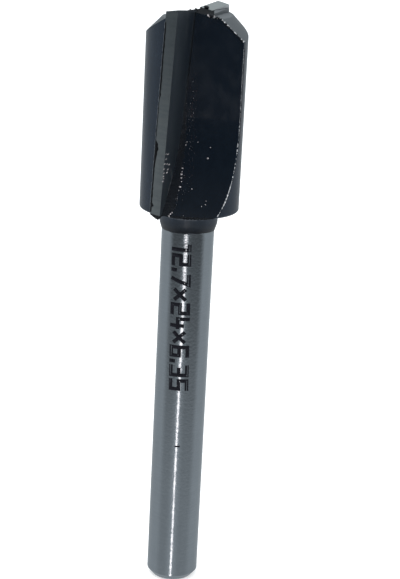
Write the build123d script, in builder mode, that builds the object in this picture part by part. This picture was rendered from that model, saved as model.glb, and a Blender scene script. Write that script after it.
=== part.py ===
"""Two-flute straight router bit: a turned steel body on a round shank, with two brazed carbide tips.

Frame: +Z runs up the axis of the bit, and the origin is the centre of the shank's end face.
The cutting end is at the top. The bit turns anticlockwise as seen from above, and the tips lead that way.
Sizes are in millimetres and degrees.
"""
import os
from math import atan2, cos, degrees, hypot, radians, sin, tan

from build123d import *

# --- Shank: the bare ground cylinder that the collet holds ---
shank_diameter = 6.35
shank_length = 45.5
shank_chamfer_height = 0.7
shank_chamfer_width = 0.55

# --- Neck: the root between the shank and the head, a little thicker than the shank ---
neck_swell = 0.275
neck_length = 2.5
neck_taper_height = 0.9
neck_step = 0.03
neck_fillet = 0.4

# --- Head: the turned blank that carries the tips ---
head_diameter = 11.92
head_rim_radius = 0.27

# --- Cutting edges ---
cutting_diameter = 12.7
overall_length = 72.0
tip_azimuth = -117.0
shear_angle = 3.1

# --- Carbide tips: one flat plate in each flute ---
tip_thickness = 1.6
tip_width = 4.74
tip_overhang = 0.46
heel_height = 0.58
heel_back_inset = 0.15
heel_face_inset = 0.25
heel_slope = 32.0
heel_rise = 18.0
end_relief = 9.0
end_dish = 4.5
flank_shift = 0.75

# --- Braze: the filler behind, inside and under each plate ---
braze_gap = 0.1

# --- Flutes: milled with a large disc, so each floor runs out in an arc ---
flute_floor = 2.22
flute_slant = 3.0
flute_cutter_radius = 25.0
flute_runout = 11.3
runout_sweep = 50.0

# --- Web, land tops and shoulders at the cutting end ---
web_drop = 0.42
web_relief = 12.0
land_turn = 8.0
land_drop = 1.1
land_relief = 1.0
shoulder_top_radius = 6.29
shoulder_slope = 46.0
shoulder_shift = 3.9
shoulder_turn = 83.0

# --- Worked out from the values above ---
shank_radius = shank_diameter / 2
neck_radius = shank_radius + neck_swell
head_radius = head_diameter / 2
cutting_radius = cutting_diameter / 2
head_bottom = shank_length + neck_length
tip_bottom = head_bottom - tip_overhang
tip_middle = (overall_length + tip_bottom) / 2
reach = overall_length
half_turns = (0, 180)


def direction(azimuth):
    """Unit vector in the XY plane, at an angle from +X."""
    return Vector(cos(radians(azimuth)), sin(radians(azimuth)), 0)


# The rake plane of the first tip: x runs outward, y up along the plate and z backward, into the plate.
# It holds the radial line at mid height and leans by the shear angle, with its upper end leading.
outward = direction(tip_azimuth)
backward = direction(tip_azimuth - 90)
upward = Vector(0, 0, 1)
rake_plane = Plane(
    origin=(0, 0, tip_middle),
    x_dir=outward,
    z_dir=backward * cos(radians(shear_angle)) + upward * sin(radians(shear_angle)),
)

# How far the upper end of the cutting edge leads its middle
lead = (overall_length - tip_middle) * tan(radians(shear_angle))

# --- Blank: the whole turned profile, revolved ---
taper_radius = shank_radius + neck_step
with BuildPart() as blank:
    with BuildSketch(Plane.XZ) as turned_profile:
        with BuildLine():
            Polyline(
                (0, 0),
                (shank_radius - shank_chamfer_width, 0),
                (shank_radius, shank_chamfer_height),
                (shank_radius, shank_length),
                (taper_radius, shank_length),
                (neck_radius, shank_length + neck_taper_height),
                (neck_radius, head_bottom),
                (head_radius, head_bottom),
                (head_radius, overall_length - web_drop),
                (0, overall_length - web_drop),
                close=True,
            )
        make_face()
        at_head_bottom = turned_profile.vertices().filter_by_position(Axis.Y, head_bottom, head_bottom)
        fillet(at_head_bottom.sort_by(Axis.X)[0], neck_fillet)
        fillet(turned_profile.vertices().sort_by_distance((head_radius, head_bottom))[0], head_rim_radius)
    revolve(axis=Axis.Z)

# --- Flute cutter: floor and run-out arc, kept in front of the rake plane ---
floor_normal = direction(-90 - flute_slant)
floor_along = direction(-flute_slant)
arc_top = head_bottom + flute_runout
arc_drop = flute_cutter_radius * sin(radians(runout_sweep))
arc_rise = flute_cutter_radius * (1 - cos(radians(runout_sweep)))
with BuildPart() as flute:
    with BuildSketch(Plane(origin=(0, 0, 0), x_dir=floor_normal, z_dir=floor_along * -1)):
        with BuildLine():
            floor_line = Line((flute_floor, overall_length + reach), (flute_floor, arc_top))
            runout_arc = RadiusArc(
                floor_line @ 1, (flute_floor + arc_rise, arc_top - arc_drop), -flute_cutter_radius
            )
            Polyline(
                runout_arc @ 1,
                (reach, arc_top - arc_drop),
                (reach, overall_length + reach),
                floor_line @ 0,
            )
        make_face()
    extrude(amount=reach, both=True)
    with BuildSketch(rake_plane):
        Rectangle(4 * reach, 4 * reach)
    extrude(amount=-2 * reach, mode=Mode.INTERSECT)

# --- Web cutter: the web between the tips falls away from a ridge, as the ends of the tips do ---
web_fall = backward * sin(radians(web_relief)) + upward * cos(radians(web_relief))
with BuildPart() as web:
    with BuildSketch(Plane(upward * (overall_length - web_drop), x_dir=outward, z_dir=web_fall)):
        Rectangle(reach, reach)
    extrude(amount=reach)

# --- Land cutter: lowers the land behind a tip, then bevels its shoulder with an off-centre cone ---
land_corner = outward * cutting_radius + backward * (tip_thickness + braze_gap)
land_facing = direction(tip_azimuth - 90 + land_turn)
land_level = overall_length - land_drop
land_fall = backward * sin(radians(land_relief)) + upward * cos(radians(land_relief))
shoulder_centre = direction(tip_azimuth + shoulder_turn) * shoulder_shift
shoulder_rise = shoulder_top_radius * tan(radians(shoulder_slope))
with BuildPart() as land:
    with BuildSketch(Plane(land_corner + upward * land_level, x_dir=outward, z_dir=land_fall)):
        Rectangle(reach, reach)
    extrude(amount=reach)
    with BuildSketch(Plane(shoulder_centre + upward * overall_length, x_dir=outward, z_dir=backward)):
        with BuildLine():
            Polyline(
                (0, shoulder_rise),
                (2 * shoulder_top_radius, -shoulder_rise),
                (2 * shoulder_top_radius, reach),
                (0, reach),
                close=True,
            )
        make_face()
    revolve(axis=Axis(shoulder_centre, upward))
    with BuildSketch(Plane(land_corner - backward * lead + upward * overall_length, z_dir=land_facing)):
        Rectangle(4 * reach, 4 * reach)
    extrude(amount=reach, mode=Mode.INTERSECT)

# --- Seat: the slot in the steel that a plate and its braze fill ---
seat_width = tip_width + braze_gap
with BuildPart() as seat:
    with BuildSketch(rake_plane.offset(-braze_gap)):
        with Locations((cutting_radius - seat_width, 0)):
            Rectangle(seat_width + reach, 2 * reach, align=(Align.MIN, Align.CENTER))
    extrude(amount=tip_thickness + 2 * braze_gap)
    split(bisect_by=Plane.XY.offset(head_bottom - braze_gap), keep=Keep.TOP)

# --- Fluted blank: the steel before the seats are cut ---
with BuildPart() as fluted:
    add(blank.part)
    for turn in half_turns:
        add(flute.part.rotate(Axis.Z, turn), mode=Mode.SUBTRACT)
        add(web.part.rotate(Axis.Z, turn), mode=Mode.SUBTRACT)
        add(land.part.rotate(Axis.Z, turn), mode=Mode.SUBTRACT)

# --- Body: one piece of steel, from the shank's end to the web between the tips ---
with BuildPart() as body:
    add(fluted.part)
    for turn in half_turns:
        add(seat.part.rotate(Axis.Z, turn), mode=Mode.SUBTRACT)

# --- Carbide tip: a plate ground to the cutting circle, with relief behind both cutting edges ---
# The end plane holds the top corner of the cutting edge. It grinds the end of the plate and its braze.
flank_radius = hypot(cutting_radius, flank_shift)
edge_top = outward * cutting_radius - backward * lead + upward * overall_length
end_normal = upward + backward * tan(radians(end_relief)) - outward * tan(radians(end_dish))
end_plane = Plane(edge_top, z_dir=end_normal)

# The heel is the outer corner of the plate that hangs below the head. The rest of its lower end is
# flush with the head. The heel narrows downwards on its back and its face, and it rises backward.
heel_top = tip_bottom + heel_height
heel_lag = (tip_middle - heel_top) * tan(radians(shear_angle))
heel_corner = outward * cutting_radius + backward * heel_lag + upward * heel_top
relief_angle = degrees(atan2(flank_shift + tip_thickness / 2, cutting_radius))
heel_back_facing = direction(tip_azimuth - relief_angle) * heel_height - upward * heel_back_inset
heel_face_facing = backward * -heel_height - upward * heel_face_inset
heel_tip = heel_corner + backward * heel_face_inset - upward * heel_height
heel_end_facing = backward * tan(radians(heel_rise)) - upward
heel_reach = cutting_radius - heel_back_inset
flush_reach = heel_reach - tip_overhang / tan(radians(heel_slope))
heel_end = (tip_bottom - tip_middle) / cos(radians(shear_angle))
flush_end = (head_bottom - tip_middle) / cos(radians(shear_angle))
with BuildPart() as tip:
    with BuildSketch(rake_plane):
        with Locations((cutting_radius - tip_width, 0)):
            Rectangle(2 * tip_width, 2 * reach, align=(Align.MIN, Align.CENTER))
    extrude(amount=tip_thickness)
    with BuildSketch(Plane.XY.offset(tip_bottom)):
        with Locations(backward * -flank_shift):
            Circle(flank_radius)
    extrude(amount=reach, mode=Mode.INTERSECT)
    with BuildSketch(rake_plane):
        with BuildLine():
            Polyline(
                (0, flush_end),
                (flush_reach, flush_end),
                (heel_reach, heel_end),
                (reach, heel_end),
                (reach, -reach),
                (0, -reach),
                close=True,
            )
        make_face()
    extrude(amount=tip_thickness, mode=Mode.SUBTRACT)
    split(bisect_by=end_plane, keep=Keep.BOTTOM)
    split(bisect_by=Plane(heel_corner, z_dir=heel_back_facing), keep=Keep.BOTTOM)
    split(bisect_by=Plane(heel_corner, z_dir=heel_face_facing), keep=Keep.BOTTOM)
    split(bisect_by=Plane(heel_tip, z_dir=heel_end_facing), keep=Keep.BOTTOM)

# --- Braze: what is left of the seat inside the steel's outline once the plate is in ---
with BuildPart() as braze:
    add(fluted.part)
    add(seat.part, mode=Mode.INTERSECT)
    add(tip.part, mode=Mode.SUBTRACT)
    split(bisect_by=end_plane, keep=Keep.BOTTOM)

# --- Write each piece ---
os.makedirs("parts", exist_ok=True)
body.part.label = "steel_body"
export_step(body.part, "parts/steel_body.step")
for number, turn in enumerate(half_turns, start=1):
    for name, piece in (("carbide_tip", tip.part), ("braze_joint", braze.part)):
        turned = piece.rotate(Axis.Z, turn)
        turned.label = f"{name}_{number}"
        export_step(turned, f"parts/{turned.label}.step")
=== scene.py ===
# %% [markdown]
# # A straight router bit, from its frame to its finish
# The imported CAD model is the frame: a steel body, two carbide tips and the braze that holds them.
# Everything made here either gives one of those parts its finish or adds a small thing that a maker's
# eye would miss on a plain model: the ragged end of the dark coat, beads of coat on the flute's edges,
# pale beads on the edges and pale specks on the flute floor that are painted highlights, braze in the
# corner of the seat, chips on a cutting face and the size numerals.
# Every shape is a formula on a grid, so a reader can change one number and see what moves.

# %% Load the frame
import math

import bmesh
import bpy
import numpy as np
from mathutils import Matrix, Vector


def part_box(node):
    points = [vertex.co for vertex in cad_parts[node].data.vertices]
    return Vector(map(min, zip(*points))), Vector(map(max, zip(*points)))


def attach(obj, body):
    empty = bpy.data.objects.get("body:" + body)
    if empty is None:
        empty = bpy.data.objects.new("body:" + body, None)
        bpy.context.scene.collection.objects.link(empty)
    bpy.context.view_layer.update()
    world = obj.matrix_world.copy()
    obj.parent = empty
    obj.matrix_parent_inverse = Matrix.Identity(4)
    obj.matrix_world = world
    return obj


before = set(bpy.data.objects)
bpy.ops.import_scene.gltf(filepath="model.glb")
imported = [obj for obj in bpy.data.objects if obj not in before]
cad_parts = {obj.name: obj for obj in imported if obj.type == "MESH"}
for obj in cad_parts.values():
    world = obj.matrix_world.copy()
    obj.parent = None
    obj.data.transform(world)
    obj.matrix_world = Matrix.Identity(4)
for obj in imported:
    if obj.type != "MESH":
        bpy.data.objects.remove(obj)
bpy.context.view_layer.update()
scene = bpy.context.scene
mm = 0.001

# %% [markdown]
# ## Sizes that the finish has to follow
# The small pieces sit on surfaces of the CAD parts, so a few of the bit's sizes are needed again here.
# Heights come from the frame's own boxes, and the rest are the real sizes of the tool in millimetres.
# The numbers are named once, and each helper below turns them into points on a real surface.

# %% The bit's own sizes
overall_length = 72.0
tip_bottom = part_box("carbide_tip_1")[0].z / mm
tip_middle = (overall_length + tip_bottom) / 2
head_bottom = 48.0
coat_bottom = 45.5
shank_radius = 3.175
head_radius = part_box("steel_body")[1].x / mm
cutting_radius = 6.35
tip_azimuth = math.radians(-117)
shear = math.radians(3.1)
tip_thickness = 1.6
flank_shift = 0.75
flank_radius = math.hypot(cutting_radius, flank_shift)
floor_depth = 2.22
floor_slant = math.radians(3)
runout_radius = 25.0
runout_top = 59.3
web_lowest = 70.98
land_top = 70.88
heel_top = tip_bottom + 0.54
shoulder_slope = math.tan(math.radians(46))
shoulder_top_radius = 6.29
land_turn = math.radians(82)
shoulder_centre_distance = 3.9
shoulder_azimuth = tip_azimuth + math.radians(83)


def direction(azimuth):
    """Level unit vector at an angle from +X: (cos a, sin a, 0)."""
    return np.array([math.cos(azimuth), math.sin(azimuth), 0.0])


outward = direction(tip_azimuth)
backward = direction(tip_azimuth - math.pi / 2)
upward = np.array([0.0, 0.0, 1.0])
rake_normal = backward * math.cos(shear) + upward * math.sin(shear)
floor_normal = direction(-math.pi / 2 - floor_slant)
floor_along = direction(-floor_slant)
print("tip from", round(tip_bottom, 2), "to", overall_length, "mm; head radius", round(head_radius, 2))

# %% [markdown]
# ## Helpers: from arrays to meshes
# Blender can build a shape by sculpting, by modifiers or from arrays of points. Arrays are used here,
# because a small bead or seam that must lie exactly on a ground face is easiest to place by its formula.
# Two builders are enough: one carries a closed profile along a path, and one makes many small pebbles.

# %% Mesh builders


def ripple(t, waves, seed):
    """Smooth unevenness between about -1 and 1: the mean of sines of t with seeded speeds and phases."""
    rng = np.random.default_rng(seed)
    speed = rng.uniform(0.4, 1.0, waves) * np.linspace(1, waves, waves)
    phase = rng.uniform(0, 2 * math.pi, waves)
    return np.sin(np.asarray(t)[..., None] * speed + phase).sum(-1) / math.sqrt(waves)


def mesh_from(name, points, faces, finish):
    """Puts millimetre points and faces in a mesh, turns the faces outwards and hangs it on the bit."""
    mesh = bpy.data.meshes.new(name)
    mesh.from_pydata((np.asarray(points) * mm).tolist(), [], faces)
    shell = bmesh.new()
    shell.from_mesh(mesh)
    bmesh.ops.recalc_face_normals(shell, faces=shell.faces)
    shell.to_mesh(mesh)
    shell.free()
    mesh.polygons.foreach_set("use_smooth", np.ones(len(mesh.polygons), bool))
    mesh.materials.append(finish)
    piece = bpy.data.objects.new(name, mesh)
    scene.collection.objects.link(piece)
    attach(piece, "root")
    print(name, len(mesh.polygons), "faces")


def tube_faces(rings, around, first=0, loop=False):
    """Quads between neighbouring rings of a tube, and one many-sided face at each end unless it loops."""
    ring = np.arange(rings if loop else rings - 1)[:, None]
    step = np.arange(around)[None, :]
    here, there = ring * around, ((ring + 1) % rings) * around
    after = (step + 1) % around
    quads = np.stack([here + step, here + after, there + after, there + step], -1).reshape(-1, 4) + first
    caps = [] if loop else [
        list(range(first + around - 1, first - 1, -1)),
        list(range(first + (rings - 1) * around, first + rings * around)),
    ]
    return quads.tolist() + caps


def tubes(name, strands, finish, loop=False):
    """One mesh from several strands, each (rings, around, 3): a closed profile carried along a path."""
    points, faces, first = [], [], 0
    for strand in strands:
        rings, around = strand.shape[:2]
        points.append(strand.reshape(-1, 3))
        faces += tube_faces(rings, around, first, loop)
        first += rings * around
    mesh_from(name, np.concatenate(points), faces, finish)


def bead(path, across, rise, radius, around=10):
    """Round bead: path + radius * (cos a * across + sin a * rise), with the angle a from 0 to a full turn."""
    a = np.linspace(0, 2 * math.pi, around, endpoint=False)[None, :, None]
    r = np.asarray(radius)[:, None, None]
    return path[:, None] + r * (np.cos(a) * across[:, None] + np.sin(a) * rise[:, None])


def pebbles(name, centres, normals, sizes, flatness, seed, finish, along=(0.3, 0.5, 0.81), longer=1.0):
    """Small lumpy balls: centre + size * (level part of a unit sphere + flatness * part along the normal).

    The level part is 'longer' along the given direction, which turns a ball into a dash.
    """
    rings, around, lumpiness = 5, 9, 0.22
    rng = np.random.default_rng(seed)
    centres = np.asarray(centres, float)
    normals = np.broadcast_to(np.asarray(normals, float), centres.shape)
    other = np.cross(normals, along)
    other /= np.linalg.norm(other, axis=1, keepdims=True)
    side = np.cross(other, normals)
    polar = np.linspace(0, math.pi, rings + 2)[1:-1][:, None]
    turn = np.linspace(0, 2 * math.pi, around, endpoint=False)[None, :]
    count = len(centres)
    lumpy = 1 + lumpiness * rng.standard_normal((count, rings, around))
    size = np.asarray(sizes, float)[:, None, None]
    level = size * lumpy * np.sin(polar)
    x, y = level * np.cos(turn) * longer, level * np.sin(turn)
    z = size * flatness * lumpy * np.cos(polar)
    body = (
        centres[:, None, None]
        + x[..., None] * side[:, None, None]
        + y[..., None] * other[:, None, None]
        + z[..., None] * normals[:, None, None]
    ).reshape(count, -1, 3)
    pole = (size[:, :, 0] * flatness) * normals
    points = np.concatenate([body, (centres + pole)[:, None], (centres - pole)[:, None]], 1)
    quads = tube_faces(rings, around)[:-2]
    step = np.arange(around)
    after = (step + 1) % around
    low = (rings - 1) * around
    top = np.stack([step, after, np.full(around, rings * around)], -1).tolist()
    bottom = np.stack([low + after, low + step, np.full(around, rings * around + 1)], -1).tolist()
    one = quads + top + bottom
    each = points.shape[1]
    faces = [[v + k * each for v in face] for k in range(count) for face in one]
    mesh_from(name, points.reshape(-1, 3), faces, finish)


def half_turn(points, turns):
    """The same points after a number of half turns round the axis: x and y change sign."""
    return points * np.array([(-1.0) ** turns, (-1.0) ** turns, 1.0])


print("builders ready")

# %% [markdown]
# ## Helpers: places on the bit
# A bead has to know the surface it lies on. The flute floor is a plane that curves out in an arc at its
# foot, the cutting face is a plane that leans by the shear angle, and the flank of a tip is a
# circle round a shifted centre. Each helper gives points for a whole array of heights at once.

# %% Surfaces as functions of height


def floor_distance(z):
    """Distance of the flute floor from the axis: the depth, plus R - sqrt(R2 - drop2) below the arc's top."""
    drop = np.clip(runout_top - np.asarray(z, float), 0, None)
    return floor_depth + runout_radius - np.sqrt(runout_radius**2 - drop**2)


def floor_point(along, z):
    """Point of the flute floor: distance * normal + along * level direction + z * up."""
    along, z = np.broadcast_arrays(np.asarray(along, float), np.asarray(z, float))
    level = floor_distance(z)[..., None] * floor_normal + along[..., None] * floor_along
    return level + z[..., None] * upward


def behind_rake(depth, z):
    """How far along 'backward' a point lies that is 'depth' behind the leaning cutting face."""
    return (depth - (np.asarray(z, float) - tip_middle) * math.sin(shear)) / math.cos(shear)


def tip_point(out, back, z):
    """Point from its distances out and back from the axis and its height: out * o + back * b + z * up."""
    out, back, z = (np.asarray(part, float)[..., None] for part in (out, back, z))
    return out * outward + back * backward + z * upward


def corner_point(z):
    """Where the cutting face meets the flute floor: out = (distance - back * b.n) / (o.n)."""
    back = behind_rake(0, z)
    out = (floor_distance(z) - back * (backward @ floor_normal)) / (outward @ floor_normal)
    return tip_point(out, back, z)


def floor_edge(z):
    """The trailing edge of the flute: the floor's point on the head's circle, s = sqrt(R2 - distance2)."""
    return floor_point(np.sqrt(head_radius**2 - floor_distance(z) ** 2), z)


def flank_point(depth, z):
    """Point on the tip's flank: out = sqrt(R2 - (back + shift)2), with the circle's shifted centre."""
    back = behind_rake(depth, z)
    return tip_point(np.sqrt(flank_radius**2 - (back + flank_shift) ** 2), back, z)


def head_point(depth, z):
    """Point on the head's cylinder, 'depth' behind the cutting face: out = sqrt(R2 - back2)."""
    back = behind_rake(depth, z)
    return tip_point(np.sqrt(head_radius**2 - back**2), back, z)


def shank_point(radius, angle, z):
    """Point on a round part: angle is measured from -Y towards +X, as the numerals are read."""
    radius, angle, z = np.broadcast_arrays(radius, angle, z)
    return np.stack([radius * np.sin(angle), -radius * np.cos(angle), z], -1)


def rake_point(out, z, proud=0.0):
    """Point of the cutting face, 'out' from the axis, moved 'proud' in front of it."""
    return tip_point(out, behind_rake(-proud, z), z)


def shoulder_height(along):
    """Height of the shoulder's bevel at the flute's edge: z = top - (|p - c| - r) * slope, a cone about c."""
    centre = -shoulder_centre_distance * direction(shoulder_azimuth)
    away = floor_point(along, np.full_like(along, overall_length)) - centre
    return overall_length - (np.hypot(away[:, 0], away[:, 1]) - shoulder_top_radius) * shoulder_slope


print("corner of the seat at mid height:", corner_point(np.array(tip_middle)).round(2))

# %% [markdown]
# ## Materials from nodes
# Each finish is worked out from the place of the point, not from a picture. A few short functions add
# the nodes that repeat: a noise stretched along an axis, a smooth step between two values and a mix.

# %% Node helpers


class Finish:
    """A material and the short calls that add its nodes."""

    def __init__(self, name):
        self.material = bpy.data.materials.new(name)
        self.material.use_nodes = True
        self.tree = self.material.node_tree
        self.shader = self.tree.nodes["Principled BSDF"]
        self.place = self.add("ShaderNodeTexCoord").outputs["Object"]

    def add(self, kind, **settings):
        node = self.tree.nodes.new(kind)
        for key, value in settings.items():
            setattr(node, key, value)
        return node

    def put(self, socket, value):
        """Links an output to a socket, or sets the socket to a constant."""
        if isinstance(value, bpy.types.NodeSocket):
            self.tree.links.new(value, socket)
        else:
            socket.default_value = value

    def math(self, operation, *values):
        node = self.add("ShaderNodeMath", operation=operation)
        for socket, value in zip(node.inputs, values):
            self.put(socket, value)
        return node.outputs[0]

    def times(self, *values):
        """Product of several values."""
        product = values[0]
        for value in values[1:]:
            product = self.math("MULTIPLY", product, value)
        return product

    def step(self, value, low, high, to_low=0.0, to_high=1.0):
        """Smooth step of a value from low..high to to_low..to_high."""
        node = self.add("ShaderNodeMapRange", interpolation_type="SMOOTHSTEP")
        for socket, number in zip(node.inputs, (value, low, high, to_low, to_high)):
            self.put(socket, number)
        return node.outputs[0]

    def between(self, value, low, high, soft):
        """1 between low and high, and 0 outside, with soft ends."""
        rise = self.step(value, low - soft, low + soft)
        return self.times(rise, self.step(value, high - soft, high + soft, 1.0, 0.0))

    def noise(self, stretch, detail=3.0, rough=0.55):
        """Noise of the place in millimetres, after a stretch (x, y, z); a small number makes long marks."""
        mapping = self.add("ShaderNodeMapping")
        self.put(mapping.inputs["Vector"], self.place)
        mapping.inputs["Scale"].default_value = [s / mm for s in stretch]
        node = self.add("ShaderNodeTexNoise")
        self.put(node.inputs["Vector"], mapping.outputs[0])
        node.inputs["Scale"].default_value = 1.0
        node.inputs["Detail"].default_value = detail
        node.inputs["Roughness"].default_value = rough
        return node.outputs["Fac"]

    def blend(self, share, first, second):
        """Colour between two colours, each a socket or (red, green, blue)."""
        node = self.add("ShaderNodeMix", data_type="RGBA")
        self.put(node.inputs[0], share)
        for socket, value in zip((node.inputs[6], node.inputs[7]), (first, second)):
            self.put(socket, value if isinstance(value, bpy.types.NodeSocket) else (*value, 1))
        return node.outputs[2]

    def level(self, share, first, second):
        """Number between two numbers."""
        node = self.add("ShaderNodeMix", data_type="FLOAT")
        for socket, value in zip((node.inputs[0], node.inputs[2], node.inputs[3]), (share, first, second)):
            self.put(socket, value)
        return node.outputs[0]

    def along(self, vector):
        """How far the place lies along a direction, in millimetres."""
        node = self.add("ShaderNodeVectorMath", operation="DOT_PRODUCT")
        self.put(node.inputs[0], self.place)
        node.inputs[1].default_value = [float(part) / mm for part in vector]
        return node.outputs["Value"]

    def facing(self, vector):
        """How far the surface faces a fixed direction: the dot product of its normal with it."""
        node = self.add("ShaderNodeVectorMath", operation="DOT_PRODUCT")
        self.put(node.inputs[0], self.add("ShaderNodeTexCoord").outputs["Normal"])
        node.inputs[1].default_value = [float(part) for part in vector]
        return node.outputs["Value"]

    def bump(self, height, distance, strength, after=None):
        """Normal tilted by a height of so many millimetres, on top of an earlier bump where one is given."""
        node = self.add("ShaderNodeBump")
        self.put(node.inputs["Height"], height)
        node.inputs["Distance"].default_value = distance * mm
        node.inputs["Strength"].default_value = strength
        if after is not None:
            self.put(node.inputs["Normal"], after)
        return node.outputs[0]

    def shade(self, **values):
        """Sets or links the shader's sockets, named in plain words."""
        names = {"color": "Base Color", "metal": "Metallic", "rough": "Roughness", "normal": "Normal",
                 "gloss": "Specular IOR Level"}
        for key, value in values.items():
            self.put(self.shader.inputs[names[key]], value)
        return self.material


print("node helpers ready")

# %% [markdown]
# ## The steel body: ground shank, dark coat and freshly ground shoulders
# One bar of steel carries three finishes. The shank is ground bright, so it shows faint rings and a
# jagged streak of light. The neck and head wear a thin dark coat, satin on the round lands and darker
# on the flute floor, with brown stains near the seat. The shoulders were ground last, through the
# coat, so they are bare and pale. One material chooses between them by height, radius and facing,
# and each finish has its own short function that returns its colour, its roughness and its height.
# A pair such as web_reach is where a mask starts and where it is full.

# %% Steel body finish


def shank_look(f):
    """Ground steel: faint rings round the bar, a fine even grain, and slow changes of tone."""
    rings = f.noise((0.35, 0.35, 9.0), 4.0, 0.6)
    fine = f.noise((3.4, 3.4, 3.4), 2.0, 0.55)
    blotch = f.noise((0.5, 0.5, 0.22))
    color = f.blend(f.step(rings, 0.35, 0.68), (0.388, 0.428, 0.463), (0.412, 0.452, 0.487))
    color = f.blend(f.step(blotch, 0.35, 0.75, 0.0, 0.3), color, (0.34, 0.37, 0.40))
    return color, f.step(fine, 0.3, 0.7, 0.1, 0.17), f.math("ADD", fine, f.times(rings, 0.06))


def coat_look(f, z, on_land):
    """Dark coat: slightly uneven, satin on the lands and neck, with brown stains by the seat."""
    peel = f.noise((1.1, 1.1, 0.7), 2.0, 0.5)
    stain = f.noise((1.3, 1.3, 0.28), 4.0, 0.6)
    land = f.blend(f.step(stain, 0.3, 0.75), (0.0062, 0.0140, 0.026), (0.0095, 0.0190, 0.034))
    floor = f.blend(f.step(peel, 0.3, 0.8), (0.0020, 0.0060, 0.0125), (0.0032, 0.0078, 0.0150))
    beside_seat = f.step(f.along(floor_along), -1.1, 0.9, 1.0, 0.0)
    brown = f.times(beside_seat, f.step(stain, 0.5, 0.72, 0.0, 0.35), f.between(z, 50.0, 64.0, 2.0))
    color = f.blend(on_land, f.blend(brown, floor, (0.014, 0.0068, 0.0065)), land)
    rough = f.level(on_land, f.step(peel, 0.3, 0.8, 0.12, 0.18), f.step(stain, 0.3, 0.8, 0.2, 0.27))
    return color, rough, peel


def ground_look(f):
    """Bare steel with marks of a coarse wheel."""
    scratches = f.noise((2.2, 14.0, 0.8), 3.0, 0.6)
    color = f.blend(f.step(scratches, 0.3, 0.7), (0.19, 0.208, 0.22), (0.25, 0.265, 0.277))
    return color, 0.5, scratches


def steel_finish():
    f = Finish("steel_body_finish")
    tilted, flat = (0.35, 0.5), (0.8, 0.9)
    seat_reach, web_reach = (0.98, 1.04), (1.8, 1.9)
    shoulder_foot, ragged_depth = 64.5, 0.2
    z = f.along(upward)
    across, away = f.along((1, 0, 0)), f.along((0, 1, 0))
    radius = f.math("SQRT", f.math("ADD", f.times(across, across), f.times(away, away)))
    ragged = f.noise((1.6, 1.6, 0.2))
    raised = f.math("SUBTRACT", z, f.times(ragged, ragged_depth))
    coated = f.step(raised, coat_bottom - 0.02, coat_bottom + 0.01)
    bevel = f.times(f.step(f.facing(upward), *tilted), f.between(z, shoulder_foot, web_lowest - 0.02, 0.02))
    past_seat = f.step(f.math("ABSOLUTE", f.along(backward)), *seat_reach)
    past_web = f.step(f.math("ABSOLUTE", across), *web_reach)
    wall = f.step(f.math("ABSOLUTE", f.facing(direction(tip_azimuth - land_turn))), *flat)
    level_top = f.step(f.facing(upward), *flat)
    land_end = f.times(past_seat, past_web, f.math("MAXIMUM", wall, level_top))
    ground = f.math("MAXIMUM", bevel, f.times(land_end, f.step(z, web_lowest - 0.2, web_lowest - 0.15)))
    web_top = f.times(level_top, f.step(z, web_lowest, web_lowest + 0.05), f.math("SUBTRACT", 1.0, ground))
    on_round = f.step(radius, head_radius - 0.12, head_radius - 0.03)
    on_land = f.math("MAXIMUM", on_round, f.step(z, head_bottom - 0.2, head_bottom - 0.1, 1.0, 0.0))
    bare = f.math("SUBTRACT", 1.0, coated)

    shank_color, shank_rough, shank_height = shank_look(f)
    coat_color, coat_rough, coat_height = coat_look(f, z, on_land)
    ground_color, ground_rough, ground_height = ground_look(f)
    coat_color = f.blend(web_top, coat_color, (0.001, 0.002, 0.004))
    color = f.blend(ground, f.blend(coated, shank_color, coat_color), ground_color)
    metal = f.level(ground, bare, 1.0)
    rough = f.level(ground, f.level(coated, shank_rough, coat_rough), ground_rough)
    normal = f.bump(f.times(bare, shank_height), 0.02, 0.5)
    normal = f.bump(f.times(coated, coat_height), 0.02, 0.2, normal)
    normal = f.bump(f.times(ground, ground_height), 0.012, 0.5, normal)
    return f.shade(color=color, metal=metal, rough=f.level(web_top, rough, 1.0), normal=normal, gloss=0.45)


steel = steel_finish()
print("steel finish nodes:", len(steel.node_tree.nodes))

# %% [markdown]
# ## The carbide tips
# Sintered carbide is grey and dense. Its cutting face is darker, with long soft bands where it was
# lapped, and its flank is ground across, which leaves faint level bands and a slightly green grey. The
# heel under the ground part is coloured near black. The material tells the faces apart by the way they
# look: both tips' cutting faces lie along one direction, so the sign of the normal doesn't matter.

# %% Carbide finish


def rake_look(f, out):
    """Cutting face: long bands along the edge, paler towards it."""
    streaks = f.noise((3.4, 3.4, 0.05), 4.0, 0.65)
    near_edge = f.step(out, 3.2, 5.6)
    color = f.blend(near_edge, (0.0165, 0.0235, 0.034), (0.029, 0.038, 0.048))
    color = f.blend(f.step(streaks, 0.42, 0.72, 0.0, 0.7), color, (0.042, 0.050, 0.058))
    return color, f.step(streaks, 0.3, 0.7, 0.34, 0.46), streaks


def flank_look(f, z):
    """Ground flank: level bands and a fine grain, darker towards the cutting end."""
    bands = f.noise((0.3, 0.3, 3.2), 4.0, 0.6)
    grain = f.noise((9.0, 9.0, 9.0), 2.0)
    color = f.blend(f.step(bands, 0.3, 0.72), (0.082, 0.096, 0.103), (0.112, 0.127, 0.133))
    color = f.blend(f.step(grain, 0.3, 0.8, 0.0, 0.35), color, (0.13, 0.145, 0.15))
    color = f.blend(f.step(z, 54.0, 70.0, 0.0, 0.55), color, (0.02, 0.03, 0.038))
    return color, f.step(bands, 0.3, 0.7, 0.42, 0.55), bands


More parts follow.
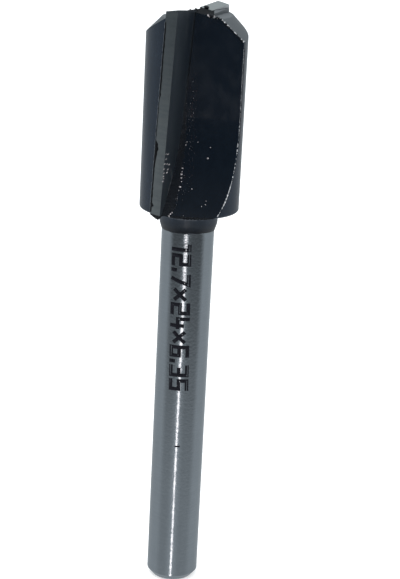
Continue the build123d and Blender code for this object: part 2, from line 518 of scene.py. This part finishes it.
def carbide_finish():
    f = Finish("carbide_finish")
    square_on, level, mid_plate = (0.94, 0.985), (0.8, 0.9), (0.5, 0.9)
    z = f.along(upward)
    lean = f.times(f.math("SUBTRACT", z, tip_middle), math.tan(shear))
    depth = f.math("ADD", f.times(f.math("SIGN", f.along(outward)), f.along(backward)), lean)
    flat = f.step(f.math("ABSOLUTE", f.facing(rake_normal)), *square_on)
    on_rake = f.times(flat, f.step(depth, *mid_plate, 1.0, 0.0))
    on_back = f.times(flat, f.step(depth, *mid_plate))
    on_end = f.step(f.math("ABSOLUTE", f.facing(upward)), *level)
    rake_color, rake_rough, rake_height = rake_look(f, f.math("ABSOLUTE", f.along(outward)))
    flank_color, flank_rough, flank_height = flank_look(f, z)
    color = f.blend(on_rake, flank_color, rake_color)
    color = f.blend(on_back, color, (0.43, 0.455, 0.47))
    color = f.blend(on_end, color, (0.285, 0.315, 0.315))
    # near black below the heel's top
    color = f.blend(f.step(z, heel_top - 0.04, heel_top + 0.02), (0.004, 0.005, 0.007), color)
    rough = f.level(on_rake, flank_rough, rake_rough)
    normal = f.bump(f.level(on_rake, flank_height, rake_height), 0.012, 0.35)
    return f.shade(color=color, metal=0.35, rough=rough, normal=normal)


carbide = carbide_finish()
print("carbide finish nodes:", len(carbide.node_tree.nodes))

# %% [markdown]
# ## The braze and the small finishes
# The braze shows only as a thin seam. Beside it come the finishes of the small pieces: dark beads of
# coat, a dark crust of flux, pale beads and a pale line on edges that are painted highlights, pale crumbs,
# pale specks that are painted highlights, brown stains and the etched numerals. They could each have a
# graph of their own, but at their size two tones and one noise say enough.

# %% Small finishes


def simple_finish(name, dark, pale, stretch, rough, bump_mm=0.01, gloss=0.5):
    """Two tones mixed by a stretched noise, with the same noise in the roughness and the bump."""
    f = Finish(name)
    grain = f.noise(stretch, 3.0, 0.6)
    color = f.blend(f.step(grain, 0.3, 0.7), dark, pale)
    normal = f.bump(grain, bump_mm, 0.5)
    return f.shade(color=color, metal=0.0, rough=f.step(grain, 0.3, 0.7, *rough), normal=normal, gloss=gloss)


braze_seam = simple_finish(
    "braze_seam_finish", (0.002, 0.003, 0.004), (0.006, 0.007, 0.009), (4, 4, 2), (0.4, 0.6), gloss=0.15)
coat_bead = simple_finish(
    "coat_bead_finish", (0.002, 0.003, 0.005), (0.006, 0.008, 0.012), (3, 3, 3), (0.2, 0.4), gloss=0.25)
flux_dark = simple_finish(
    "flux_finish", (0.003, 0.0055, 0.010), (0.0062, 0.0075, 0.011), (1.3, 1.3, 0.35), (0.2, 0.3), 0.004)
# near-white beads on the edges: their colour is a painted highlight
edge_highlight_bead = simple_finish(
    "edge_highlight_bead_finish", (0.62, 0.62, 0.64), (0.92, 0.92, 0.94), (5, 5, 5), (0.3, 0.45))
# pale crumbs on the cutting faces; on the floor the same pale colour is a painted highlight on small lumps
crumb_and_glint = simple_finish(
    "crumb_and_glint_finish", (0.45, 0.41, 0.42), (0.88, 0.82, 0.83), (7, 7, 7), (0.4, 0.7), 0.02)
stain_brown = simple_finish(
    "stain_finish", (0.022, 0.012, 0.012), (0.055, 0.031, 0.032), (6, 6, 6), (0.4, 0.6), gloss=0.3)
# pale line along the land's edge: a painted highlight
land_edge_highlight = simple_finish(
    "land_edge_highlight_finish", (0.07, 0.085, 0.105), (0.15, 0.17, 0.20), (3, 3, 1.2), (0.25, 0.4))
grey_smear = simple_finish(
    "smear_finish", (0.035, 0.040, 0.047), (0.075, 0.080, 0.088), (5, 5, 1.2), (0.5, 0.7))
etched = simple_finish(
    "etched_finish", (0.006, 0.006, 0.011), (0.012, 0.012, 0.019), (5, 5, 5), (0.5, 0.65), gloss=0.2)
print("small finishes ready")

# %% Neck coat finish, and the finishes of the CAD parts


def neck_finish():
    """Thin coat: paler upwards from its lip, a painted reflection of the floor; a patchy pale line under the
    head.
    """
    darkest, palest, pale_line_from, pale_line_full = 45.6, 47.5, 47.22, 47.36
    f = Finish("neck_coat_finish")
    z = f.along(upward)
    grain = f.noise((1.3, 1.3, 0.6), 3.0, 0.6)
    pale_line = f.times(f.step(z, pale_line_from, pale_line_full), f.step(grain, 0.3, 0.5))
    # paler upwards: a painted reflection of the bright floor below
    color = f.blend(f.step(z, darkest, palest), (0.001, 0.003, 0.007), (0.019, 0.030, 0.047))
    color = f.blend(pale_line, color, (0.075, 0.088, 0.105))
    rough, normal = f.step(grain, 0.3, 0.7, 0.3, 0.38), f.bump(grain, 0.003, 0.5)
    return f.shade(color=color, rough=rough, normal=normal, gloss=0.6)


neck_coat = neck_finish()
finish_of = {"steel_body": steel, "carbide_tip_1": carbide, "carbide_tip_2": carbide,
             "braze_joint_1": braze_seam, "braze_joint_2": braze_seam}
for node, finish in finish_of.items():
    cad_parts[node].material_slots[0].material = finish
print("finishes set on", len(finish_of), "nodes")

# %% [markdown]
# ## The coat on the neck
# The head was dipped, and the coat runs thin over the neck and stops in an uneven line with a soft lip.
# It could be painted on with a mask alone, but a real lip catches the light. So a closed shell, a few
# hundredths of a millimetre proud, is turned round the neck, and its lower edge wanders with the angle.

# %% Coat on the neck


def neck_shell():
    """Ring r(a, t), z(a, t): a flat loop profile whose lowest point follows coat_bottom + wander(a)."""
    angle = np.linspace(0, 2 * math.pi, 361)[:-1]
    waves = ((0.5, 3, 0.7), (0.3, 7, 2), (0.2, 13, 0), (0.14, 23, 1))
    wander = sum(size * np.sin(speed * angle + phase) for size, speed, phase in waves)
    foot = coat_bottom + 0.06 + 0.06 * wander
    lip = [(3.185, 0.02), (3.220, 0.0), (3.245, 0.05)]
    rise = [(3.280, 45.72), (3.320, 45.84), (3.365, 45.98), (3.410, 46.14), (3.450, 46.27), (3.482, 46.41),
            (3.502, 46.60), (3.512, 46.85), (3.520, 47.15), (3.525, 47.45), (3.500, 47.64), (3.30, 47.50),
            (3.175, 46.00)]
    rings = [shank_point(radius, angle, foot + up) for radius, up in lip]
    rings += [shank_point(radius, angle, np.full_like(angle, height)) for radius, height in rise]
    tubes("neck_shell", [np.stack(rings, 1)], neck_coat, loop=True)


neck_shell()

# %% [markdown]
# ## Beads along the edges of the flutes
# Coat runs back from a sharp edge and dries there as a row of small dark beads, and on the edge itself a
# thin pale bead is a painted highlight. A modifier could scatter balls along the edge, but then they would
# float or sink. Here a bead is a circle carried along the edge's own formula, whose radius rises and falls.

# %% Beads on the trailing edge of each flute


def edge_frame(path):
    """Two unit directions square to a path: level outward from the axis, and the one across it."""
    along = np.gradient(path, axis=0)
    along /= np.linalg.norm(along, axis=1, keepdims=True)
    level = path * np.array([1, 1, 0])
    rise = level - (level * along).sum(1, keepdims=True) * along
    rise /= np.linalg.norm(rise, axis=1, keepdims=True)
    return np.cross(along, rise), rise


def edge_bead(name, path, shift, radius, turns, finish):
    """Bead carried along an edge, moved by shift = (across, rise), and turned to its flute."""
    across, rise = edge_frame(path)
    centre = half_turn(path + shift[0] * across + shift[1] * rise, turns)
    strand = bead(centre, half_turn(across, turns), half_turn(rise, turns), radius, around=8)
    tubes(f"{name}_{turns + 1}", [strand], finish)


def trailing_bead(turns):
    """Painted highlight as a pale bead, whole near the foot and dotted above; a dark bead of coat on its land
    side.
    """
    foot, end = 48.25, 67.6
    z = np.linspace(foot, end, 620)
    path = floor_edge(z)
    whole = np.clip((52.4 - z) / 0.8, 0, 1) * np.clip((z - 49.0) / 0.5, 0, 1)
    fade = np.interp(z, (48, 57, 60, 68), (0.8, 0.9, 0.2, 0.2))
    dots = fade * np.clip(1.3 * ripple(z * 5.2, 7, 11 + turns) - 0.2, 0, 1)
    uneven = np.clip(1 + 0.7 * ripple(z * 8, 6, 5 + turns), 0, 2)
    radius = 0.008 + 0.038 * whole * uneven + 0.045 * dots * (1 - whole)
    # the pale bead on the edge is a painted highlight
    edge_bead("flute_edge_highlight", path, (0, -0.01), radius, turns, edge_highlight_bead)
    thick = np.interp(z, (48, 53, 57, 68), (0.05, 0.06, 0.10, 0.10))
    backing = np.clip(thick + 0.02 * ripple(z * 7, 7, 31 + turns), 0.02, 0.13)
    edge_bead("flute_edge_coat", path, (0.095, -0.04), backing, turns, coat_bead)


for turns in (0, 1):
    trailing_bead(turns)

# %% Painted highlight and ragged coat along the shoulder's edge

shoulder_highlight_beads = [  # along the floor, size
    (5.42, 0.10), (4.46, 0.07), (3.7, 0.05), (3.15, 0.09), (2.85, 0.06), (2.6, 0.05),
]


def shoulder_point(along):
    """Point of the edge between the floor and the bevel, or the land where that is lower."""
    return floor_point(along, np.minimum(shoulder_height(along), land_top))


def floor_bead(name, path, rise, radius, turns, finish, around=10):
    """Bead carried along a path on the floor: its circle lies in the floor's normal and 'rise'."""
    across = np.broadcast_to(half_turn(floor_normal, turns), path.shape)
    rise = np.broadcast_to(half_turn(rise, turns), path.shape)
    strand = bead(half_turn(path, turns), across, rise, radius, around)
    tubes(f"{name}_{turns + 1}", [strand], finish)


def shoulder_edge(turns):
    """Thin pale bead on the bevel's edge and a few brighter beads, all painted highlight, over a ragged band
    of coat.
    """
    inner, outer = 1.98, 5.5
    along = np.linspace(inner, outer, 300)
    path = shoulder_point(along)
    # thin pale bead on the bevel's edge, a painted highlight
    highlight_radius = np.clip(0.010 + 0.040 * ripple(along * 7, 8, 51 + turns), 0.003, 0.075)
    down = -floor_along * 0.72 - upward * 0.69
    floor_bead("shoulder_edge_highlight", path, down, highlight_radius, turns, edge_highlight_bead, around=8)
    ragged = np.clip(0.08 + 0.065 * ripple(along * 6, 8, 61 + turns), 0.015, 0.19)
    heap = np.interp(along, (inner, 2.3, 2.6, 2.85, outer), (0.20, 0.13, 0.05, 0.0, 0.0))
    middle = path + down * np.clip(0.09 - 1.3 * heap, -0.09, 0.09)[:, None] - floor_normal * 0.03
    floor_bead("shoulder_coat", middle, down, ragged + 0.6 * heap, turns, coat_bead)
    # a few brighter beads on the edge, painted highlights
    places, sizes = np.array(shoulder_highlight_beads).T
    centres = half_turn(shoulder_point(places), turns)
    pebbles(f"shoulder_highlight_bead_{turns + 1}", centres, half_turn(floor_normal, turns), sizes, 0.7,
            71 + turns, edge_highlight_bead)


for turns in (0, 1):
    shoulder_edge(turns)

# %% Drip of coat under each flute


def coat_drip(turns):
    """Bead along the flute's foot that sags in the middle: lowest = head_bottom - sag * (1 - (s / half)2)."""
    s = np.linspace(-2.6, 3.1, 180)
    sag = 0.24 * np.clip(1 - ((s - 0.25) / 2.9) ** 2, 0.02, 1) * (1 + 0.16 * ripple(s * 5, 7, 81 + turns))
    radius = 0.5 * sag + 0.035
    path = floor_point(s, head_bottom) - floor_normal * 0.03
    path[:, 2] = head_bottom + 0.03 - sag / 2
    floor_bead("coat_drip", path, upward, radius, turns, coat_bead)


for turns in (0, 1):
    coat_drip(turns)

# %% [markdown]
# ## Braze and flux round the tips
# The seam behind each tip is full of dark filler that laps a little over the flank, with one deep
# notch where the tip's edge chipped, and a pale line along the land's edge is a painted highlight. In the
# corner of seat and floor the flux ran down in a shallow pool, with pale specks along the pool's edge that
# are painted highlights on small lumps. Both are grids: one parameter up the tip, one across it.

# %% Seam behind each tip


def seam(turns):
    """Dark filler from the land to the tip's back edge; its front edge follows a few listed heights."""
    z = np.linspace(48.3, 70.5, 460)
    heights = (48.3, 48.9, 49.15, 49.5, 54.2, 56.0, 56.5, 56.9, 61.7, 62.0, 70.6)
    depths = (1.42, 1.38, 1.06, 1.40, 1.40, 1.08, 1.16, 1.52, 1.50, 1.38, 1.42)
    front = np.interp(z + turns * 3.1, heights, depths) - 0.025 * ripple(z * 3, 6, 3 + turns)
    back = tip_thickness + 0.16 + 0.02 * ripple(z * 2.2, 6, 9 + turns)
    edge_in = flank_point(front, z)
    edge_out = head_point(back, z)
    lift = edge_in * [1, 1, 0] / np.linalg.norm(edge_in * [1, 1, 0], axis=1, keepdims=True)
    corner = flank_point(np.full_like(z, tip_thickness + 0.01), z)
    ring = np.stack([
        edge_in - lift * 0.04,
        edge_in + lift * 0.010,
        corner + lift * 0.014,
        edge_out + lift * 0.012,
        edge_out - lift * 0.05,
        (edge_in + edge_out) / 2 - lift * 0.24,
    ], 1)
    tubes(f"seam_filler_{turns + 1}", [half_turn(ring, turns)], braze_seam)
    # the thin pale line along the land's edge is a painted highlight
    thin = 0.045 + 0.02 * np.clip(ripple(z * 2.6, 7, 15 + turns) + 0.4, 0, 1.2)
    edge_bead("land_edge_line", edge_out, (0, -0.012), thin, turns, land_edge_highlight)


for turns in (0, 1):
    seam(turns)

# %% Flux pool in the corner of each seat

pool_heights = (48.0, 48.3, 48.75, 49.3, 50.4, 51.3, 53.4, 56.1, 58.5, 61.0, 71.3)
pool_edges = (-2.0, -1.91, -1.5, -1.28, -1.18, -1.01, -0.85, -0.57, -0.62, -0.72, -0.62)


def flux_pool(turns):
    """Shallow fillet from the cutting face to the pool's edge: at each height a quadratic curve in t."""
    z = np.linspace(48.12, 71.2, 460)
    corner = corner_point(z)
    climb = 0.16 + 0.10 * np.clip((57 - z) / 6, 0, 1) + 0.03 * ripple(z * 3, 6, 91 + turns)
    on_rake = corner + outward * climb[:, None]
    edge = np.interp(z, pool_heights, pool_edges) + 0.05 * ripple(z * 4, 7, 21 + turns)
    on_floor = floor_point(edge, z)
    t = np.linspace(0, 1, 9)[None, :, None]
    control = 0.8 * corner + 0.2 * (on_rake + on_floor) / 2
    face = (1 - t) ** 2 * on_rake[:, None] + 2 * t * (1 - t) * control[:, None] + t**2 * on_floor[:, None]
    lumps = 0.006 * ripple(z[:, None] * 5 + np.linspace(0, 4, 9), 7, 101 + turns)[..., None]
    face = face + (lumps + 0.01) * np.sin(math.pi * t) * (floor_normal - rake_normal * 0.5)
    sunk = -0.05 * floor_normal + 0.05 * rake_normal
    under = np.stack([on_floor + sunk, corner + 2 * sunk, on_rake + sunk], 1)
    ring = np.concatenate([face, under], 1)
    tubes(f"flux_pool_{turns + 1}", [half_turn(ring, turns)], flux_dark)


for turns in (0, 1):
    flux_pool(turns)

# %% Pale specks on the floor, painted highlights on small lumps, and brown stains

glint_specks = [  # along the floor, height, size
    (-0.13, 63.5, 0.03), (-0.08, 62.4, 0.03), (0.0, 61.6, 0.035), (-0.59, 56.1, 0.06), (-0.49, 56.45, 0.05),
    (0.79, 56.5, 0.05), (2.28, 55.95, 0.05), (2.06, 54.7, 0.10), (-0.85, 53.4, 0.09), (-0.88, 53.0, 0.05),
    (-0.92, 52.7, 0.12), (-0.9, 52.3, 0.10), (-0.86, 51.9, 0.06), (-1.01, 51.3, 0.11), (-1.12, 50.9, 0.07),
    (-0.4, 48.15, 0.04), (-0.1, 48.0, 0.05), (0.1, 47.95, 0.04), (0.41, 51.15, 0.06), (2.13, 49.9, 0.05),
    (2.1, 49.5, 0.07), (1.65, 49.3, 0.05), (-1.75, 48.45, 0.09), (-1.9, 48.3, 0.11), (-2.05, 48.05, 0.12),
]


def floor_glints(turns):
    """The larger specks listed one by one, and many tiny ones scattered round the pool's edge by a seeded
    draw.
    """
    tiny_specks, threads, stains = 90, 26, 110
    fine = (0.008, 0.022)
    normal = half_turn(floor_normal, turns)
    along, height, size = np.array(glint_specks).T
    along = along + 0.25 * turns * np.sin(height)
    rng = np.random.default_rng(111 + turns)
    z = rng.uniform(49.5, 62.0, tiny_specks)
    tiny_speck = np.interp(z, pool_heights, pool_edges) + rng.normal(0.4, 0.35, tiny_specks)
    thread = np.linspace(48.9, 50.8, threads)
    line = np.interp(thread, pool_heights, pool_edges)
    centres = np.concatenate([floor_point(along, height), floor_point(tiny_speck, z), floor_point(line, thread)])
    sizes = np.concatenate([size, rng.uniform(*fine, tiny_specks), rng.uniform(*fine, threads)])
    # pale lumps on the floor, coloured as painted highlights
    pebbles(f"floor_glint_{turns + 1}", half_turn(centres, turns), normal, sizes, 0.6,
            121 + turns, crumb_and_glint)
    high = rng.uniform(51.0, 64.5, stains)
    beside = rng.normal(0.05, 0.3, stains)
    sizes = rng.uniform(0.012, 0.036, stains)
    pebbles(f"floor_stain_{turns + 1}", half_turn(floor_point(beside, high), turns), normal, sizes, 0.25,
            171 + turns, stain_brown, along=upward, longer=1.7)


for turns in (0, 1):
    floor_glints(turns)

# %% Chips and a smear on each cutting face

face_chips = [  # out from the axis, height, size
    (6.1, 55.5, 0.05), (5.6, 55.4, 0.07), (5.95, 54.9, 0.05), (6.2, 54.35, 0.07), (5.6, 54.25, 0.06),
    (5.05, 54.1, 0.07), (6.2, 53.75, 0.06), (5.3, 53.55, 0.07), (6.15, 53.25, 0.06), (5.4, 53.2, 0.08),
    (6.2, 52.9, 0.06), (6.1, 52.6, 0.05), (6.25, 52.3, 0.07),
]


def face_marks(turns):
    """Pale dashes across the cutting face near the edge, and a thin smear that runs down it."""
    out, height, size = np.array(face_chips).T
    centres = half_turn(rake_point(out, height - turns * 1.7, 0.004), turns)
    across = half_turn(outward * 0.97 - upward * 0.24, turns)
    pebbles(f"face_chip_{turns + 1}", centres, half_turn(-rake_normal, turns), size * 0.95, 0.3,
            131 + turns, crumb_and_glint, along=across, longer=2.6)
    low, high, sunk, proud = 48.9, 53.5, -0.01, 0.006
    z = np.linspace(low, high, 120)
    middle = np.interp(z, (low, 51.0, 52.4, high), (4.75, 4.6, 4.0, 4.55))
    wide = 0.10 + 0.05 * ripple(z * 2.5, 6, 141 + turns)
    profile = ((-1, sunk), (-0.8, proud), (0.8, proud), (1, sunk))
    ring = np.stack([rake_point(middle + side * wide, z, height) for side, height in profile], 1)
    tubes(f"face_smear_{turns + 1}", [half_turn(ring, turns)], grey_smear)


for turns in (0, 1):
    face_marks(turns)

# %% Lumps of flux on the web


def web_lumps(turns):
    """Dark lumps at the inner end of a tip and at the web's edge, with three pale specks beside them."""
    lumps = np.array([
        tip_point(-1.55, -0.26, 71.6),
        floor_point(1.60, 71.12 - 0.25 * turns) - 0.15 * floor_normal,
        tip_point(-1.5, 0.4, 71.62),
    ])
    sizes = [(0.31, 0.28, 0.08), (0.10, 0.14, 0.24)][turns]
    pebbles(f"web_flux_{turns + 1}", half_turn(lumps, turns), upward, sizes, 0.9,
            151 + turns, coat_bead)
    bright = np.array([
        floor_point(1.22, 71.20) + 0.02 * floor_normal,
        floor_point(1.96, 71.06) - 0.02 * floor_normal,
        floor_point(1.35, 71.02) + 0.03 * floor_normal,
    ])
    sizes = np.array([0.10, 0.09, 0.06]) * (1 - 0.5 * turns)
    pebbles(f"web_pale_speck_{turns + 1}", half_turn(bright, turns), half_turn(floor_normal, turns), sizes, 0.8,
            161 + turns, crumb_and_glint)


for turns in (0, 1):
    web_lumps(turns)

# %% [markdown]
# ## Size numerals on the shank
# Tools are marked with their own size, here the cutting diameter, the length of the edge and the shank
# in millimetres. A font could be bent round the bar, but plain squared numerals need only a few strokes,
# so each one is drawn as a line through points of a small lattice. The line gets a width with mitred
# corners, is cut fine enough to follow the bar, and stands a few micrometres proud of it.

# %% Size numerals

marking_sunk, marking_proud = 0.012, 0.006
strokes_of = {
    "1": [[(0.1, 4), (1, 4), (1, 0)]],
    "2": [[(0, 4), (2, 4), (2, 2), (0, 2), (0, 0), (2, 0)]],
    "3": [[(0, 4), (2, 4), (2, 0), (0, 0)], [(0.6, 2), (2, 2)]],
    "4": [[(0, 4), (0, 1.5), (2, 1.5)], [(1.6, 2.6), (1.6, 0)]],
    "5": [[(2, 4), (0, 4), (0, 2), (2, 2), (2, 0), (0, 0)]],
    "6": [[(2, 4), (0, 4), (0, 0), (2, 0), (2, 2), (0, 2)]],
    "7": [[(0, 4), (2, 4), (0.7, 0)]],
    "x": [[(0, 0.8), (2, 3)], [(0, 3), (2, 0.8)]],
    ".": [[(0, 0), (0, 0.55)]],
}
lattice_width = {".": 0, "1": 1}


def ribbon(points, width):
    """Outline of a line with mitred corners: each corner moves by width / 2 along (n1 + n2) / (1 + n1.n2)."""
    points = np.asarray(points, float)
    run = np.diff(points, axis=0)
    run /= np.linalg.norm(run, axis=1, keepdims=True)
    points[0] -= run[0] * width / 2
    points[-1] += run[-1] * width / 2
    normal = np.stack([-run[:, 1], run[:, 0]], 1)
    before, after = np.vstack([normal[:1], normal]), np.vstack([normal, normal[-1:]])
    mitre = (before + after) / (1 + (before * after).sum(1, keepdims=True))
    return points + mitre * width / 2, points - mitre * width / 2


def bent_ribbon(points, width):
    """Closed box along the ribbon, bent round the shank: station by station, angle = arc / radius."""
    low, high = shank_radius - marking_sunk, shank_radius + marking_proud
    left, right = ribbon(points, width)
    length = np.linalg.norm(np.diff(points, axis=0), axis=1)
    station = np.concatenate([np.linspace(k, k + 1, max(2, int(step / 0.12)), endpoint=False)
                              for k, step in enumerate(length)] + [[len(length)]])
    corner = np.arange(len(left))
    sides = [np.stack([np.interp(station, corner, side[:, k]) for k in (0, 1)], 1) for side in (left, right)]
    profile = [(sides[0], low), (sides[0], high), (sides[1], high), (sides[1], low)]
    rings = [shank_point(radius, side[:, 0] / shank_radius, side[:, 1]) for side, radius in profile]
    return np.stack(rings, 1)


def size_numerals():
    """Reads from the top down, with their tops towards +X: arc = base + up + slant * (top - z)."""
    text, top, slant = "12.7x24x6.35", 44.1, 0.025
    start = top
    cell, row, stroke_width, gap = 0.53, 0.50, 0.46, 0.27
    base = math.radians(-31) * shank_radius
    strands = []
    for sign in text:
        for stroke in strokes_of[sign]:
            line = []
            for right, up in stroke:
                z = start - right * cell
                line.append((base + up * row + slant * (top - z), z))
            strands.append(bent_ribbon(line, stroke_width))
        start -= cell * lattice_width.get(sign, 2) + stroke_width + gap
    tubes("size_numerals", strands, etched)
    print("numerals end at z", round(start + gap, 2))


def depth_mark():
    """A short dash that marks how deep the shank goes into the collet."""
    height, line_width = 18.45, 0.2
    half, aside = math.radians(4) * shank_radius, math.radians(-1.5) * shank_radius
    strand = bent_ribbon([(aside - half, height), (aside + half, height)], line_width)
    tubes("depth_mark", [strand], etched)


size_numerals()
depth_mark()

# %% [markdown]
# ## The camera
# It stands well above the bit's middle and looks slightly down, with a long lens and a small roll, so
# the bit leans a little in the frame. Place and aim are set from three angles.

# %% Camera
lens_pixels = 1523.91
frame_height = 579
camera_place = np.array([-1.113, -177.532, 91.462])
yaw, pitch, roll = 0.01648, 0.29328, 0.05089

forward = np.array([math.sin(yaw) * math.cos(pitch), math.cos(yaw) * math.cos(pitch), -math.sin(pitch)])
level_right = np.array([math.cos(yaw), -math.sin(yaw), 0.0])
level_up = np.cross(level_right, forward)
right = math.cos(roll) * level_right + math.sin(roll) * level_up
above = -math.sin(roll) * level_right + math.cos(roll) * level_up


def make_camera():
    data = bpy.data.cameras.new("camera")
    data.sensor_width = 36.0
    data.lens = lens_pixels / frame_height * data.sensor_width
    data.clip_start, data.clip_end = 0.005, 50
    camera = bpy.data.objects.new("camera", data)
    turn = np.stack([right, above, -forward], 1)
    camera.matrix_world = Matrix.Translation(camera_place * mm) @ Matrix(turn.tolist()).to_4x4()
    scene.collection.objects.link(camera)
    scene.camera = camera
    return camera


print("lens mm:", round(make_camera().data.lens, 1))

# %% [markdown]
# ## Floor and light
# The floor is a plain pale sheet. The room is a soft sweep of light: bright behind and overhead, softer
# at the sides and dim in front, with one narrow strip in front that draws the streak down the shank.
# A polished bar shows nothing of its own, so the bands on the shank are this room seen in it.

# %% Floor


def make_floor():
    """Pale sheet with a slight glow, which fills the shadow under the bit as a wide studio sweep would."""
    reach, glow = 12.0, 0.6
    corners = [(-reach, -reach, 0), (reach, -reach, 0), (reach, reach, 0), (-reach, reach, 0)]
    mesh = bpy.data.meshes.new("floor")
    mesh.from_pydata(corners, [], [(0, 1, 2, 3)])
    f = Finish("floor_finish")
    mottle = f.noise((0.002, 0.002, 0.002), 2.0)
    f.shade(color=f.blend(mottle, (0.90, 0.90, 0.90), (0.93, 0.93, 0.93)), rough=0.9, gloss=0.0)
    f.shader.inputs["Emission Color"].default_value = (1, 1, 1, 1)
    f.shader.inputs["Emission Strength"].default_value = glow
    mesh.materials.append(f.material)
    floor = bpy.data.objects.new("floor", mesh)
    scene.collection.objects.link(floor)
    floor.visible_glossy = False


make_floor()

# %% Room light


def make_room():
    """World whose strength is a formula of the direction (dx, dy, dz): smooth steps added and multiplied."""
    sides_light, behind_light, overhead_light, strip_light, halo_light = 0.48, 0.1, 0.8, 3.1, 0.15
    world = bpy.data.worlds.new("room")
    world.use_nodes = True
    scene.world = world
    nodes, links = world.node_tree.nodes, world.node_tree.links
    background = nodes["Background"]
    place = nodes.new("ShaderNodeTexCoord").outputs["Generated"]
    split = nodes.new("ShaderNodeSeparateXYZ")
    links.new(place, split.inputs[0])
    dx, dy, dz = split.outputs

    def join(node, sockets, values):
        for socket, value in zip(sockets, values):
            if isinstance(value, bpy.types.NodeSocket):
                links.new(value, socket)
            else:
                socket.default_value = value
        return node.outputs[0]

    def math_node(operation, *values):
        node = nodes.new("ShaderNodeMath")
        node.operation = operation
        return join(node, node.inputs, values)

    def step(value, low, high, to_low, to_high):
        node = nodes.new("ShaderNodeMapRange")
        node.interpolation_type = "SMOOTHSTEP"
        return join(node, node.inputs[:5], (value, low, high, to_low, to_high))

    def multiply(first, second):
        return math_node("MULTIPLY", first, second)

    front = multiply(step(dz, -0.65, -0.5, 0.4, 1.0), step(dz, -0.44, -0.22, 0.39, 0.11))
    front = math_node("ADD", front, step(dz, 0.1, 0.6, 0.0, 0.10))
    side = step(dy, -0.50, -0.05, 0.0, 1.0)
    around = math_node("ADD", multiply(front, math_node("SUBTRACT", 1.0, side)), multiply(side, sides_light))
    behind = step(dy, 0.7, 0.97, 0.0, behind_light)
    overhead = step(dz, 0.55, 0.9, 0.0, overhead_light)
    lean = math.radians(6)
    offset = math_node("SUBTRACT", multiply(dx, math.cos(lean)), multiply(dy, math.sin(lean)))
    aside = math_node("ABSOLUTE", offset)
    wide = step(dz, -0.37, -0.26, 1.0, 2.8)
    core = step(math_node("DIVIDE", aside, wide), 0.02, 0.065, 1.0, 0.0)
    low_band = multiply(step(dz, -0.54, -0.49, 0.0, 1.0), step(dz, -0.265, -0.25, 1.0, 0.0))
    in_front = multiply(step(dy, -0.7, -0.6, 1.0, 0.0), low_band)
    strip = multiply(core, in_front)
    halo = multiply(step(aside, 0.05, 0.5, halo_light, 0.0), in_front)
    total = math_node("ADD", math_node("ADD", around, behind), math_node("ADD", overhead, halo))
    total = math_node("ADD", total, multiply(strip, strip_light))
    links.new(total, background.inputs["Strength"])
    tint = nodes.new("ShaderNodeMix")
    tint.data_type = "RGBA"
    links.new(strip, tint.inputs[0])
    tint.inputs[6].default_value = (0.90, 0.96, 1.0, 1)
    tint.inputs[7].default_value = (1.0, 0.90, 0.865, 1)
    links.new(tint.outputs[2], background.inputs["Color"])


def soft_box(name, place, aim, width, power):
    """A square lamp that lights but isn't mirrored, turned to look at its aim."""
    data = bpy.data.lights.new(name, "AREA")
    data.shape = "SQUARE"
    data.size = width
    data.energy = power
    light = bpy.data.objects.new(name, data)
    light.location = place
    light.rotation_euler = (Vector(aim) - Vector(place)).to_track_quat("-Z", "Y").to_euler()
    light.visible_glossy = False
    scene.collection.objects.link(light)


make_room()
soft_box("soft_box_top", (-0.25, 0.15, 0.9), (0, 0, 0), 0.8, 3.0)
scene.view_settings.view_transform = "Standard"
print("room and soft box ready")
